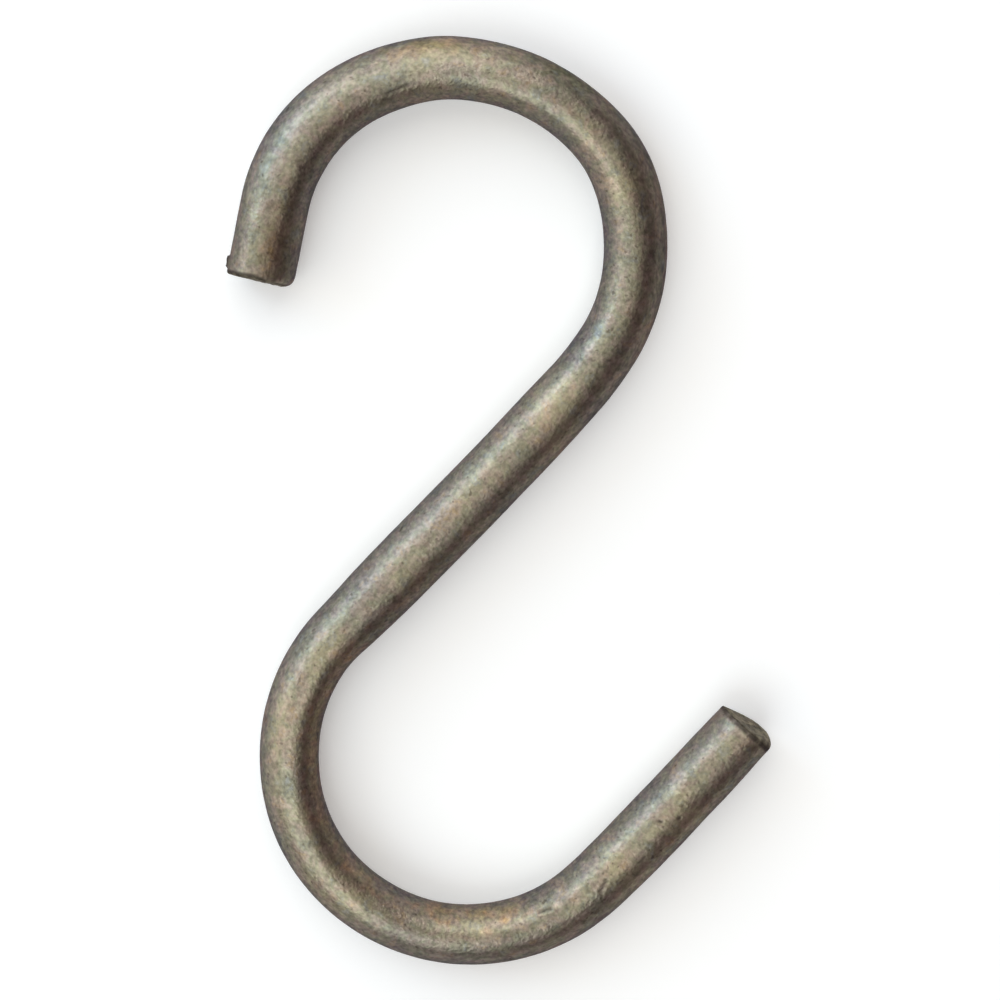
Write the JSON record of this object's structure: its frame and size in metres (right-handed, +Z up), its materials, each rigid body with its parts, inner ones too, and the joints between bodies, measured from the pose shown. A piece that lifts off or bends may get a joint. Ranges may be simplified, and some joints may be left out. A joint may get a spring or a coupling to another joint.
{
  "type": "s hook",
  "caption": "Round steel wire bent into an S, with a close upper hook that hangs on a rail and a wider lower hook whose long straight tail takes the load.",
  "frame": {"origin": "under the middle of the outline, on the surface that the hook lies on", "axes": "+Y along the long way of the S, towards the upper hook; +X towards the side that the lower hook's tail ends on; +Z up, across the wire and out of the plane of the S"},
  "size_m": [0.041, 0.0706, 0.005],
  "materials": {
    "plated_wire": "dull zinc plate with a faint warm, mottled passivated tint and a fine grain"
  },
  "bodies": {
    "root": {"hook": "plated_wire"}
  },
  "joints": []
}
